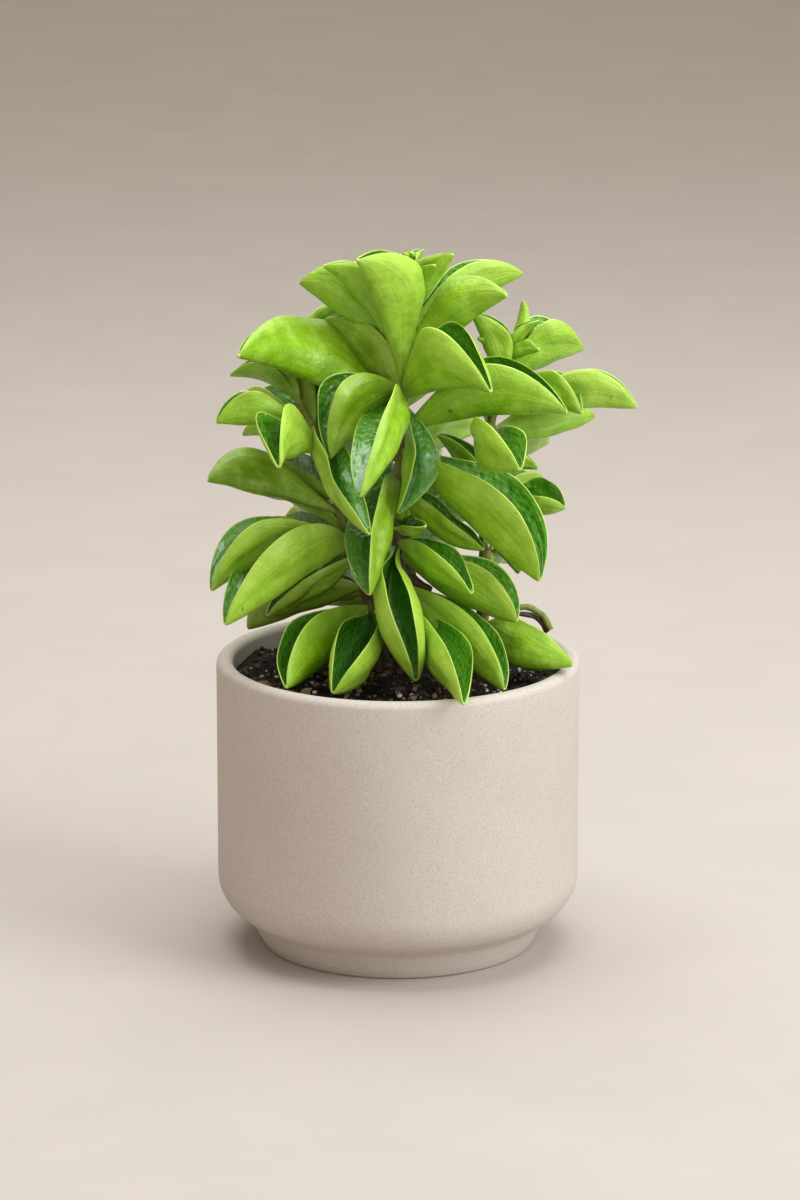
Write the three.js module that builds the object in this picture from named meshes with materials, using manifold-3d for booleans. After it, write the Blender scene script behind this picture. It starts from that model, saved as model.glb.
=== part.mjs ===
// A potted peperomia: a stoneware pot filled with soil, and four leafy stems standing in it.
// Millimetres, +Z up. The origin is the centre of the pot's flat base and the plant's front looks along -Y.

import * as THREE from 'three';
import { mergeVertices } from 'three/addons/utils/BufferGeometryUtils.js';
import Module from 'manifold-3d';

const wasm = await Module();
wasm.setup();

// ---------- driving dimensions ----------

const potRadius = 60;
const potHeight = 97.4;
const wallThickness = 5.6;
const footRadius = 45.5;
const footHeight = 7;
const footFlare = 2.8;
const stepWidth = 1.4;
const stepHeight = 2.4;
const turnHeight = 24;
const turnRadius = 15;
const turnStart = -48;
const floorThickness = 7;
const floorCorner = 14;
const floorCornerHeight = 6;
const rimRounding = 2.4;
const potSides = 44;

const soilLevel = 92;
const soilRelief = 0.7;
const broadWaves = [0.21, 0.19];
const fineWaves = [0.47, -0.31];
const fineShare = 0.6;
const soilSides = 28;
const soilRings = 5;
const seatGap = 0.45;

const stemFootRadius = 2.3;
const stemTipRadius = 0.9;
const stemSides = 6;
const stemSteps = 11;

const bladeThickness = 1.0;
const stalkThickness = 1.7;
const stalkShare = 0.24;
const stalkHalfWidth = 1.1;
const tipHalfWidth = 0.5;
const flatHalfWidth = 4;
const keelAngle = 35;
const marginAngle = 105;
const usualBelly = 0.55;
const bluntness = 0.72;
const exactWeld = 1e-4;
const joinWeld = 0.03;
const joinTolerance = 0.08;
const longLeaf = 44;
const longSteps = [0, 0.11, 0.32, 0.58, 0.84, 1];
const shortSteps = [0, 0.14, 0.45, 0.8, 1];

const up = new THREE.Vector3(0, 0, 1);
const radians = THREE.MathUtils.degToRad;

// ---------- solids and meshes ----------

// Corners nearer than the weld become one, and the triangles that this closes up are left out.
function solidOf(geometry, weld = exactWeld) {
  const bare = geometry.clone();
  bare.deleteAttribute('normal');
  bare.deleteAttribute('uv');
  const merged = mergeVertices(bare, weld);
  const index = merged.index.array;
  const kept = [];
  for (let corner = 0; corner < index.length; corner += 3) {
    const [a, b, c] = index.slice(corner, corner + 3);
    if (a !== b && b !== c && c !== a) {
      kept.push(a, b, c);
    }
  }
  return new wasm.Manifold(new wasm.Mesh({
    numProp: 3,
    vertProperties: new Float32Array(merged.attributes.position.array),
    triVerts: new Uint32Array(kept),
  }));
}

function geometryOf(solid) {
  const { vertProperties, triVerts } = solid.getMesh();
  const geometry = new THREE.BufferGeometry();
  geometry.setAttribute('position', new THREE.BufferAttribute(vertProperties, 3));
  geometry.setIndex(new THREE.BufferAttribute(triVerts, 1));
  return geometry;
}

function meshOf(name, solid, material) {
  const geometry = geometryOf(solid);
  geometry.computeVertexNormals();
  const mesh = new THREE.Mesh(geometry, material);
  mesh.name = name;
  return mesh;
}

function largestBody(solid) {
  const bodies = solid.decompose();
  bodies.sort((a, b) => b.volume() - a.volume());
  return bodies[0];
}

// One clean body out of parts joined together, without slivers where they meet.
function cleanBody(joined) {
  const plain = largestBody(joined.asOriginal().simplify(joinTolerance));
  const welded = solidOf(geometryOf(plain), joinWeld);
  return largestBody(welded.simplify(joinTolerance));
}

// A closed skin over a grid of points: each row is a ring of the same number of points.
function closedTube(rings) {
  const sides = rings[0].length;
  const positions = rings.flat().flatMap((point) => [point.x, point.y, point.z]);
  const triangles = [];
  for (let row = 0; row < rings.length - 1; row += 1) {
    for (let side = 0; side < sides; side += 1) {
      const next = (side + 1) % sides;
      const a = row * sides + side;
      const b = row * sides + next;
      const c = (row + 1) * sides + next;
      const d = (row + 1) * sides + side;
      triangles.push(a, b, c, a, c, d);
    }
  }
  const last = (rings.length - 1) * sides;
  for (let side = 1; side < sides - 1; side += 1) {
    triangles.push(0, side + 1, side);
    triangles.push(last, last + side, last + side + 1);
  }
  const geometry = new THREE.BufferGeometry();
  geometry.setAttribute('position', new THREE.Float32BufferAttribute(positions, 3));
  geometry.setIndex(triangles);
  return geometry;
}

// ---------- the pot ----------

function arc(centre, radius, from, to, steps) {
  const points = [];
  for (let step = 0; step <= steps; step += 1) {
    const angle = radians(from + ((to - from) * step) / steps);
    points.push(new THREE.Vector2(
      centre[0] + radius * Math.cos(angle),
      centre[1] + radius * Math.sin(angle),
    ));
  }
  return points;
}

// A straight wall that turns in above a narrower foot, with a soft rounded rim.
function potSolid() {
  const innerRadius = potRadius - wallThickness;
  const turn = arc([potRadius - turnRadius, turnHeight], turnRadius, turnStart, 0, 4);
  const outerRim = arc([potRadius - rimRounding, potHeight - rimRounding], rimRounding, 0, 80, 3);
  const innerRim = arc([innerRadius + rimRounding, potHeight - rimRounding], rimRounding, 100, 180, 2);
  const profile = [
    new THREE.Vector2(0, 0),
    new THREE.Vector2(footRadius - 1, 0),
    new THREE.Vector2(footRadius, 0.8),
    new THREE.Vector2(footRadius + footFlare, footHeight),
    new THREE.Vector2(footRadius + footFlare + stepWidth, footHeight + stepHeight),
    ...turn,
    ...outerRim,
    ...innerRim,
    new THREE.Vector2(innerRadius, turnHeight),
    new THREE.Vector2(innerRadius - floorCorner / 2, floorThickness + floorCornerHeight),
    new THREE.Vector2(innerRadius - floorCorner, floorThickness),
    new THREE.Vector2(0, floorThickness),
  ];
  return solidOf(new THREE.LatheGeometry(profile, potSides).rotateX(Math.PI / 2));
}

// ---------- the soil ----------

function soilHeight(x, y) {
  const broad = Math.sin(x * broadWaves[0] + 1.3) * Math.cos(y * broadWaves[1] - 0.4);
  const fine = Math.sin(x * fineWaves[0] + y * fineWaves[1]) * fineShare;
  return soilLevel + (broad + fine) * soilRelief;
}

// Fills the pot's inside with a small gap all round, and has an uneven top.
function soilSolid() {
  const radius = potRadius - wallThickness - seatGap;
  const floor = floorThickness + seatGap;
  const lowRing = (ringRadius, height) => {
    const points = [];
    for (let side = 0; side < soilSides; side += 1) {
      const angle = (side / soilSides) * Math.PI * 2;
      points.push(new THREE.Vector3(ringRadius * Math.cos(angle), ringRadius * Math.sin(angle), height));
    }
    return points;
  };
  const rings = [
    lowRing(radius - floorCorner, floor),
    lowRing(radius - floorCorner / 2, floor + floorCornerHeight),
    lowRing(radius, turnHeight + seatGap),
  ];
  for (let ring = soilRings; ring > 0; ring -= 1) {
    const points = lowRing((radius * ring) / soilRings, 0);
    points.forEach((point) => {
      point.z = soilHeight(point.x, point.y);
    });
    rings.push(points);
  }
  return solidOf(closedTube(rings));
}

// ---------- stems ----------

function stemCurve(points) {
  const vectors = points.map((point) => new THREE.Vector3(...point));
  return new THREE.CatmullRomCurve3(vectors, false, 'catmullrom', 0.5);
}

function pointAtHeight(curve, height) {
  let low = 0;
  let high = 1;
  for (let step = 0; step < 30; step += 1) {
    const middle = (low + high) / 2;
    if (curve.getPoint(middle).z < height) {
      low = middle;
    } else {
      high = middle;
    }
  }
  return curve.getPoint(low);
}

// A tapering round stem; extra widens it all round and lengthens its foot.
function stemSolid(curve, extra) {
  const rings = [];
  for (let step = 0; step <= stemSteps; step += 1) {
    const share = step / stemSteps;
    const along = curve.getTangent(share);
    const side = new THREE.Vector3(1, 0, 0).addScaledVector(along, -along.x).normalize();
    const across = new THREE.Vector3().crossVectors(along, side);
    const centre = curve.getPoint(share);
    if (step === 0) {
      centre.addScaledVector(along, -extra);
    }
    const radius = THREE.MathUtils.lerp(stemFootRadius, stemTipRadius, share) + extra;
    const ring = [];
    for (let turn = 0; turn < stemSides; turn += 1) {
      const angle = (turn / stemSides) * Math.PI * 2;
      ring.push(centre.clone()
        .addScaledVector(side, radius * Math.cos(angle))
        .addScaledVector(across, radius * Math.sin(angle)));
    }
    rings.push(ring);
  }
  return solidOf(closedTube(rings));
}

// ---------- leaves ----------

// Half the blade's flattened width at a share of its length: a stalk, a full belly and a blunt point.
function halfWidth(leaf, length, share) {
  const power = Math.log(0.5) / Math.log(leaf.belly ?? usualBelly);
  const swell = Math.max(Math.sin(Math.PI * share ** power), 0) ** bluntness;
  const floor = THREE.MathUtils.lerp(stalkHalfWidth, tipHalfWidth, share);
  return Math.max(leaf.wide * length * swell, floor);
}

// Folded along its keel like a boat: each half leaves the keel at one angle and curls up to its margin.
function leafSolid(base, leaf) {
  const tip = new THREE.Vector3(...leaf.tip);
  const length = base.distanceTo(tip);
  const along = tip.clone().sub(base).divideScalar(length);
  const opening = up.clone().addScaledVector(along, -along.z).normalize();
  opening.applyAxisAngle(along, radians(leaf.roll ?? 0));
  const across = new THREE.Vector3().crossVectors(along, opening);
  const steps = length > longLeaf ? longSteps : shortSteps;
  const shares = [1, 0.5, 0, -0.5, -1];
  const rings = steps.map((share) => {
    const width = halfWidth(leaf, length, share);
    const lean = radians(keelAngle);
    const closing = Math.min(1, width / flatHalfWidth) * (leaf.fold ?? 1);
    const curl = Math.max(radians(marginAngle - keelAngle) * closing, 0.02);
    const thickness = THREE.MathUtils.lerp(stalkThickness, bladeThickness, Math.min(1, share / stalkShare));
    const sag = (leaf.sag ?? 0) * length * 4 * share * (1 - share);
    const bow = (leaf.bend ?? 0) * length * 4 * share * (1 - share);
    const keel = base.clone()
      .addScaledVector(along, length * share)
      .addScaledVector(opening, -sag)
      .addScaledVector(across, bow);
    const onFace = (s, offset) => {
      const angle = lean + curl * Math.abs(s);
      const sideways = (width * (Math.sin(angle) - Math.sin(lean))) / curl;
      const upward = (width * (Math.cos(lean) - Math.cos(angle))) / curl;
      const inward = s === 0 ? 0 : -Math.sin(angle) * offset;
      const inside = s === 0 ? offset / Math.cos(lean) : Math.cos(angle) * offset;
      return keel.clone()
        .addScaledVector(across, Math.sign(s) * (sideways + inward))
        .addScaledVector(opening, upward + inside);
    };
    const outer = shares.map((s) => onFace(s, -thickness / 2));
    const inner = shares.map((s) => onFace(s, thickness / 2)).reverse();
    return [...outer, ...inner];
  });
  return solidOf(closedLeaf(rings, shares.length));
}

// Joins the rings of a blade; both faces are split into triangles alike.
function closedLeaf(rings, columns) {
  const sides = columns * 2;
  const positions = rings.flat().flatMap((point) => [point.x, point.y, point.z]);
  const triangles = [];
  const quad = (a, b, c, d, flip) => {
    if (flip) {
      triangles.push(a, b, d, b, c, d);
    } else {
      triangles.push(a, b, c, a, c, d);
    }
  };
  for (let row = 0; row < rings.length - 1; row += 1) {
    for (let side = 0; side < sides; side += 1) {
      const next = (side + 1) % sides;
      const low = row * sides;
      const high = low + sides;
      quad(low + side, low + next, high + next, high + side, side >= columns);
    }
  }
  const last = (rings.length - 1) * sides;
  for (let column = 0; column < columns - 1; column += 1) {
    const mirrored = sides - 1 - column;
    quad(column, mirrored, mirrored - 1, column + 1, false);
    quad(last + column, last + column + 1, last + mirrored - 1, last + mirrored, false);
  }
  const geometry = new THREE.BufferGeometry();
  geometry.setAttribute('position', new THREE.Float32BufferAttribute(positions, 3));
  geometry.setIndex(triangles);
  return geometry;
}

// The routes of the stems, from their foot in the soil to their top.
const stemRoutes = {
  center: [[0, 0, 81], [0.5, -0.5, 115], [0, -1, 150], [1.2, 0, 180], [2, 0, 205], [3, 1, 233]],
  left: [[-5, 2, 81], [-8, 1.5, 108], [-17, -1, 141], [-26, -3, 171], [-32, 3, 182], [-37, 13, 194]],
  right: [[27, 8, 81], [28.5, 8, 120], [29, 6, 150], [30, 4, 172], [34, 5, 190], [38, 8, 204]],
  back: [[4, 26, 81], [4, 30, 120], [1, 34, 155], [-2, 37, 182]],
};

// Each leaf: the height of its joint on the stem and the place of its tip; wide is half the flattened
// width over the length, roll turns the opening about the length in degrees, sag drops the keel by that
// share of the length, fold closes or opens the halves, belly is where the blade is widest and bend bows
// the keel sideways by that share of the length.
const leaves = {
  center: [
    { at: 186, tip: [-13, -26, 235], wide: 0.36, fold: 1.25, roll: -10, sag: -0.05, belly: 0.65 },
    { at: 187, tip: [-24, -9, 230], wide: 0.32, roll: 10, sag: -0.09, belly: 0.6 },
    { at: 204, tip: [-32, 4, 222], wide: 0.44, roll: 30, sag: 0.07, belly: 0.65 },
    { at: 195, tip: [35, -18, 222], wide: 0.4, fold: 1.15, roll: -45, sag: -0.03 },
    { at: 209, tip: [18, -5, 233], wide: 0.34, roll: -20, sag: 0.03 },
    { at: 212, tip: [12, -8, 230], wide: 0.26, roll: -20, sag: 0.03 },
    { at: 206, tip: [41, 14, 223], wide: 0.32, roll: -10, sag: 0.02, belly: 0.6 },
    { at: 220, tip: [-4, 5, 232], wide: 0.34 },
    { at: 222, tip: [8, 9, 232], wide: 0.32 },
    { at: 184, tip: [30, -31, 193], wide: 0.56, fold: 1.25, roll: 5, sag: -0.04, bend: -0.04 },
    { at: 173, tip: [55, -16, 183], wide: 0.38, fold: 1.2, roll: 5, sag: -0.03, belly: 0.6 },
    { at: 187, tip: [-22, -17, 168], wide: 0.62, fold: 1.1, roll: 9, belly: 0.5 },
    { at: 184, tip: [-12, -50, 163], wide: 0.29, fold: 0.65, roll: 46, sag: 0.06, belly: 0.45, bend: -0.12 },
    { at: 183, tip: [0, -18, 150], wide: 0.3, fold: 0.65, roll: -50, sag: -0.05, bend: -0.02 },
    { at: 141, tip: [9, -19, 146], wide: 0.32, fold: 0.85, roll: 30, sag: 0.13, belly: 0.5, bend: 0.04 },
    { at: 154, tip: [28, -18, 138], wide: 0.3, fold: 1.2, roll: 5, sag: 0.19, belly: 0.45, bend: -0.04 },
    { at: 168, tip: [46, -25, 129], wide: 0.36, fold: 0.9, roll: -5, sag: 0.05, belly: 0.6 },
    { at: 136, tip: [24, -29, 126], wide: 0.32, fold: 0.95, roll: -5, sag: 0.08, belly: 0.5 },
    { at: 133, tip: [39, -19, 114], wide: 0.4, fold: 0.85, roll: -10, sag: 0.11, belly: 0.6, bend: -0.02 },
    { at: 122, tip: [34.5, -38, 96], wide: 0.3, roll: -25, sag: 0.08, bend: -0.04 },
    { at: 111, tip: [21, -66, 99], wide: 0.24, roll: -20, sag: 0.05, belly: 0.5, bend: -0.02 },
    { at: 157, tip: [-9, -39, 128], wide: 0.32, fold: 0.45, roll: 50, sag: 0.05, belly: 0.4, bend: 0.02 },
    { at: 180, tip: [-24, 9, 209], wide: 0.4 },
    { at: 176, tip: [-51, -33, 205], wide: 0.4, fold: 1.35, roll: 40, sag: -0.1, belly: 0.45, bend: 0.08 },
    { at: 211, tip: [6, 26, 222], wide: 0.38 },
    { at: 196, tip: [-14, 32, 210], wide: 0.38 },
    { at: 190, tip: [6, 38, 200], wide: 0.38, sag: 0.04 },
    { at: 180, tip: [-34, 23, 186], wide: 0.42, sag: 0.04 },
    { at: 181, tip: [25, 27, 194], wide: 0.36, sag: 0.04 },
    { at: 136, tip: [6, -38, 99], wide: 0.56, fold: 1.35, sag: 0.06, belly: 0.65, bend: 0.1 },
    { at: 190, tip: [-5, 14, 216], wide: 0.4 },
  ],
  left: [
    { at: 152, tip: [-30, 12, 168], wide: 0.4, sag: 0.04 },
    { at: 114, tip: [-36, -42, 98], wide: 0.36, fold: 1.1, roll: 20, sag: 0.1, bend: 0.08 },
    { at: 113, tip: [-21, -45, 97], wide: 0.5, fold: 1.15, roll: -5, sag: 0.18, belly: 0.6, bend: -0.08 },
    { at: 175, tip: [-9, -35, 147], wide: 0.24, fold: 0.75, roll: -15, sag: 0.1, belly: 0.4, bend: 0.04 },
    { at: 190, tip: [-15, 29, 210], wide: 0.28, roll: -30 },
    { at: 167, tip: [-38, -39, 170], wide: 0.5, fold: 1.1, roll: 20, sag: -0.05, belly: 0.6, bend: 0.06 },
    { at: 176, tip: [-59, -12, 179], wide: 0.4, roll: 10, sag: 0.03, belly: 0.65 },
    { at: 173, tip: [-51, 10, 170], wide: 0.3 },
    { at: 183, tip: [-55, 10, 190], wide: 0.36, roll: -5, sag: -0.07 },
    { at: 181, tip: [-48, 11, 199], wide: 0.3, roll: 20 },
    { at: 173, tip: [-39, 20, 197], wide: 0.3, fold: 1.2, roll: 25 },
    { at: 146, tip: [-62, -13, 160], wide: 0.4, fold: 1.1, roll: 65, sag: -0.04, belly: 0.65 },
    { at: 138, tip: [-61, -18, 124], wide: 0.36, fold: 0.65, roll: 10, sag: -0.04, belly: 0.6 },
    { at: 136, tip: [-56, -31, 116], wide: 0.4, fold: 0.85, roll: 15, sag: 0.04, belly: 0.45 },
    { at: 131, tip: [-43, -8, 113], wide: 0.34, roll: -15, sag: 0.12, belly: 0.5 },
    { at: 121, tip: [-50, 14, 103], wide: 0.38, sag: 0.04 },
    { at: 140, tip: [-36, 6, 149], wide: 0.26 },
    { at: 170, tip: [-52, 32, 175], wide: 0.36, sag: 0.04 },
    { at: 166, tip: [-38, 40, 166], wide: 0.38, sag: 0.05 },
    { at: 152, tip: [-48, 38, 144], wide: 0.36, sag: 0.05 },
    { at: 144, tip: [-34, 46, 136], wide: 0.34, sag: 0.05 },
    { at: 133, tip: [-50, 36, 124], wide: 0.34, sag: 0.05 },
    { at: 119, tip: [-30, 33, 108], wide: 0.34, sag: 0.05 },
  ],
  right: [
    { at: 201, tip: [41, 14, 214], wide: 0.3, roll: 120 },
    { at: 197, tip: [46, 6, 209], wide: 0.28 },
    { at: 198, tip: [49, 12, 205], wide: 0.28 },
    { at: 189, tip: [61, 18, 197], wide: 0.58, fold: 0.95, roll: -5, sag: 0.02, belly: 0.6 },
    { at: 196, tip: [46, -2, 201], wide: 0.36, roll: -30 },
    { at: 188, tip: [24, 3, 212], wide: 0.4, roll: -10 },
    { at: 195, tip: [26, 2, 204], wide: 0.3 },
    { at: 183, tip: [60, -8, 181], wide: 0.44, fold: 0.95, roll: -15, sag: -0.02, belly: 0.6 },
    { at: 180, tip: [78, -3, 182], wide: 0.32, fold: 0.9, roll: -10, sag: 0.01, belly: 0.65 },
    { at: 172, tip: [65, 20, 174], wide: 0.34, roll: -40, sag: 0.12 },
    { at: 173, tip: [39, -46, 171], wide: 0.36, fold: 0.95, roll: -15, sag: 0.14, belly: 0.6, bend: 0.12 },
    { at: 160, tip: [46, 4, 160], wide: 0.38, roll: -10 },
    { at: 150, tip: [55, -1, 148], wide: 0.48, fold: 0.8, roll: 20, sag: 0.18, belly: 0.65 },
    { at: 136, tip: [40, 14, 122], wide: 0.4 },
    { at: 148, tip: [13, 6, 171], wide: 0.3, roll: -20 },
    { at: 104, tip: [57, -25, 101], wide: 0.36, fold: 0.95, roll: -55, sag: 0.2, belly: 0.45, bend: 0.04 },
    { at: 184, tip: [46, 38, 190], wide: 0.36 },
    { at: 174, tip: [30, 46, 180], wide: 0.38, sag: 0.04 },
    { at: 161, tip: [50, 42, 160], wide: 0.36, sag: 0.04 },
    { at: 156, tip: [34, 46, 152], wide: 0.38, sag: 0.04 },
    { at: 150, tip: [50, 26, 146], wide: 0.38, sag: 0.04 },
    { at: 142, tip: [32, 46, 132], wide: 0.38, sag: 0.04 },
    { at: 128, tip: [40, 42, 120], wide: 0.36, sag: 0.04 },
    { at: 120, tip: [36, 30, 106], wide: 0.34, sag: 0.04 },
    { at: 112, tip: [30, 48, 102], wide: 0.36, sag: 0.05 },
  ],
  back: [
    { at: 176, tip: [-22, 54, 184], wide: 0.4 },
    { at: 174, tip: [16, 60, 180], wide: 0.4 },
    { at: 178, tip: [-4, 48, 206], wide: 0.4 },
    { at: 164, tip: [-6, 74, 166], wide: 0.4, sag: 0.05 },
    { at: 158, tip: [26, 68, 158], wide: 0.4, sag: 0.05 },
    { at: 156, tip: [-34, 62, 160], wide: 0.4, sag: 0.05 },
    { at: 146, tip: [12, 80, 142], wide: 0.38, sag: 0.05 },
    { at: 142, tip: [-24, 76, 140], wide: 0.38, sag: 0.05 },
    { at: 136, tip: [34, 68, 130], wide: 0.38, sag: 0.05 },
    { at: 130, tip: [-40, 60, 124], wide: 0.38, sag: 0.05 },
    { at: 122, tip: [18, 74, 112], wide: 0.38, sag: 0.05 },
    { at: 118, tip: [-14, 76, 108], wide: 0.38, sag: 0.05 },
    { at: 110, tip: [-34, 58, 101], wide: 0.36, sag: 0.05 },
  ],
};

// ---------- the assembly ----------

const pottery = new THREE.MeshStandardMaterial({ color: 0xd2c5b6, roughness: 0.85, metalness: 0 });
const earth = new THREE.MeshStandardMaterial({ color: 0x2e2119, roughness: 1, metalness: 0 });

const plant = new THREE.Group();
plant.add(meshOf('pot', potSolid(), pottery));

let soil = soilSolid();
for (const [side, route] of Object.entries(stemRoutes)) {
  const curve = stemCurve(route);
  let solid = stemSolid(curve, 0);
  for (const leaf of leaves[side]) {
    solid = solid.add(leafSolid(pointAtHeight(curve, leaf.at), leaf));
  }
  soil = soil.subtract(stemSolid(curve, seatGap));
  const foliage = new THREE.MeshStandardMaterial({ color: 0x7fae2b, roughness: 0.45, metalness: 0 });
  plant.add(meshOf(`stem_${side}`, cleanBody(solid), foliage));
}
plant.add(meshOf('soil', largestBody(soil), earth));

export default plant;
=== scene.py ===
import random
from math import cos, exp, log, pi, radians, sin

import bmesh
import bpy
from mathutils import Matrix, Vector, noise


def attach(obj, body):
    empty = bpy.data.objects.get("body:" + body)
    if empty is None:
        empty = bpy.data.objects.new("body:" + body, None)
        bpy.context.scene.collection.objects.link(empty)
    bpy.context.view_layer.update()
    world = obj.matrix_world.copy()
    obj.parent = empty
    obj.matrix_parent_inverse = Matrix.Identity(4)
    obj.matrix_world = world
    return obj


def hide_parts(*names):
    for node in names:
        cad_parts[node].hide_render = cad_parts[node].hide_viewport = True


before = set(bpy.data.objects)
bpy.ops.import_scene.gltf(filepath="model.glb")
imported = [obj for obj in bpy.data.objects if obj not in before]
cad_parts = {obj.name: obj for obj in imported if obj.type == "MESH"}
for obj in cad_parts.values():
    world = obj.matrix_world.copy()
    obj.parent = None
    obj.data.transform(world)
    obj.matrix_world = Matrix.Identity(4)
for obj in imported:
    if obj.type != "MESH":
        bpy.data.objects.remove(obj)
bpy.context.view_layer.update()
mm = 0.001  # the sizes below are millimetres, the scene is in metres
noise.seed_set(5)  # so that the rough surfaces come out the same each time


# small helpers for material nodes: every input is set by its name

def startMaterial(name, **shaderValues):
    material = bpy.data.materials.new(name)
    material.use_nodes = True
    shader = material.node_tree.nodes["Principled BSDF"]
    for socket, value in shaderValues.items():
        shader.inputs[socket.replace("_", " ")].default_value = value
    return material, material.node_tree, shader


def plug(tree, socket, value):
    # a link where the value comes from a node, otherwise the number or colour itself
    if isinstance(value, bpy.types.NodeSocket):
        tree.links.new(value, socket)
    else:
        socket.default_value = value


def addNode(tree, kind, inputs=None, **settings):
    node = tree.nodes.new(kind)
    for name, value in settings.items():
        setattr(node, name, value)
    for name, value in (inputs or {}).items():
        plug(tree, node.inputs[name], value)
    return node


def ownPosition(tree, stretch=(1, 1, 1)):
    place = addNode(tree, "ShaderNodeTexCoord").outputs["Object"]
    return addNode(tree, "ShaderNodeMapping", {"Vector": place, "Scale": stretch}).outputs["Vector"]


def noiseValue(tree, vector, size, detail=3.0, roughness=0.55):
    # size is the width of one lump in millimetres
    texture = addNode(tree, "ShaderNodeTexNoise", {
        "Vector": vector, "Scale": 1 / (size * mm), "Detail": detail, "Roughness": roughness})
    return texture.outputs["Fac"]


def attribute(tree, name):
    return addNode(tree, "ShaderNodeAttribute", attribute_name=name).outputs["Fac"]


def ramp(tree, value, stops):
    node = addNode(tree, "ShaderNodeValToRGB", {"Fac": value})
    marks = node.color_ramp.elements
    while len(marks) < len(stops):
        marks.new(0.5)
    for mark, (position, shade) in zip(marks, stops):
        mark.position = position
        mark.color = (*shade, 1)
    return node.outputs["Color"]


def span(tree, value, low, high, toLow=0.0, toHigh=1.0):
    return addNode(tree, "ShaderNodeMapRange", {
        "Value": value, "From Min": low, "From Max": high,
        "To Min": toLow, "To Max": toHigh}).outputs["Result"]


def blend(tree, share, first, second, mode="MIX"):
    # lays the second colour over the first, by share
    node = addNode(tree, "ShaderNodeMix", data_type="RGBA", blend_type=mode)
    plug(tree, node.inputs[0], share)
    for index, shade in ((6, first), (7, second)):
        plug(tree, node.inputs[index], (*shade, 1) if isinstance(shade, tuple) else shade)
    return node.outputs[2]


def maths(tree, operation, *values):
    node = addNode(tree, "ShaderNodeMath", operation=operation)
    for index, value in enumerate(values):
        plug(tree, node.inputs[index], value)
    return node.outputs[0]


def weighed(tree, *pairs):
    # the sum of each value times its weight
    total = None
    for value, weight in pairs:
        part = maths(tree, "MULTIPLY", value, weight)
        total = part if total is None else maths(tree, "ADD", total, part)
    return total


def bump(tree, shader, height, strength, distance):
    node = addNode(tree, "ShaderNodeBump", {
        "Height": height, "Strength": strength, "Distance": distance * mm})
    feed(tree, shader, "Normal", node.outputs["Normal"])


def feed(tree, shader, socket, value):
    tree.links.new(value, shader.inputs[socket])


# helpers for meshes

def makePiece(name, form, materials, nodes, turnOut=True, smooth=True):
    if turnOut:
        bmesh.ops.recalc_face_normals(form, faces=form.faces[:])
    mesh = bpy.data.meshes.new(name)
    form.to_mesh(mesh)
    form.free()
    for face in mesh.polygons:
        face.use_smooth = smooth
    for material in materials:
        mesh.materials.append(material)
    piece = bpy.data.objects.new(name, mesh)
    bpy.context.collection.objects.link(piece)
    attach(piece, "root")
    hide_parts(*nodes)
    return piece


def arcPoints(centre, radius, start, end, steps):
    points = []
    for step in range(steps + 1):
        angle = radians(start + (end - start) * step / steps)
        points.append((centre[0] + radius * cos(angle), centre[1] + radius * sin(angle)))
    return points


def spunForm(profile, turns):
    form = bmesh.new()
    corners = [form.verts.new((radius * mm, 0, height * mm)) for radius, height in profile]
    edges = [form.edges.new(pair) for pair in zip(corners, corners[1:])]
    bmesh.ops.spin(form, geom=corners + edges, cent=(0, 0, 0), axis=(0, 0, 1), angle=2 * pi,
                   steps=turns, use_merge=True)
    bmesh.ops.remove_doubles(form, verts=form.verts[:], dist=1e-6)
    return form


# the pot: unglazed stoneware with a fine sandy speckle

stoneware = {
    "base": (0.540, 0.478, 0.426),
    "pale": (0.635, 0.578, 0.527),
    "grain": (0.400, 0.338, 0.288),
    "cloudSize": 46,
    "sandSize": 0.55,
    "speckSize": 1.1,
    "cloudShare": 0.35,
    "sandShare": 0.75,
    "speckShare": 0.45,
}

potShape = {
    "radius": 60,
    "height": 97.4,
    "wall": 5.6,
    "rim": 2.4,
    "floor": 7,
    "footRadius": 45.5,
    # how far past the foot's radius, and how high
    "footCurve": [(-9, 0), (-1.4, 0), (-0.5, 0.25), (0, 0.9), (1.5, 4), (2.8, 7), (3.4, 8.3), (4.3, 9.6)],
    "turnHeight": 24,
    "turnRadius": 15,
    "turnFrom": -48,
    "turnSteps": 14,
    "rimSteps": 8,
    "outsideRings": (34, 46, 58, 70, 82, 90),
    "insideRings": (84, 54),
    "innerCorner": [(-7, 6), (-14, 0)],  # in from the wall, up from the floor
    "turns": 144,
}


def makeStoneware():
    material, tree, shader = startMaterial("sandyStoneware", Roughness=0.82)
    place = ownPosition(tree)
    cloud = noiseValue(tree, place, stoneware["cloudSize"], 4)
    sand = noiseValue(tree, place, stoneware["sandSize"], 2, 0.7)
    speck = noiseValue(tree, place, stoneware["speckSize"], 3, 0.75)
    clouds = span(tree, cloud, 0.35, 0.65, 0, stoneware["cloudShare"])
    darkSand = span(tree, sand, 0.50, 0.74, 0, stoneware["sandShare"])
    paleSand = span(tree, sand, 0.48, 0.24, 0, stoneware["sandShare"])
    specks = span(tree, speck, 0.66, 0.74, 0, stoneware["speckShare"])
    colour = blend(tree, clouds, stoneware["base"], stoneware["pale"])
    colour = blend(tree, darkSand, colour, stoneware["grain"])
    colour = blend(tree, paleSand, colour, stoneware["pale"])
    colour = blend(tree, specks, colour, stoneware["grain"])
    feed(tree, shader, "Base Color", colour)
    feed(tree, shader, "Roughness", span(tree, sand, 0.3, 0.7, 0.74, 0.9))
    bump(tree, shader, maths(tree, "ADD", sand, speck), 0.35, 0.12)
    return material


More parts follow.
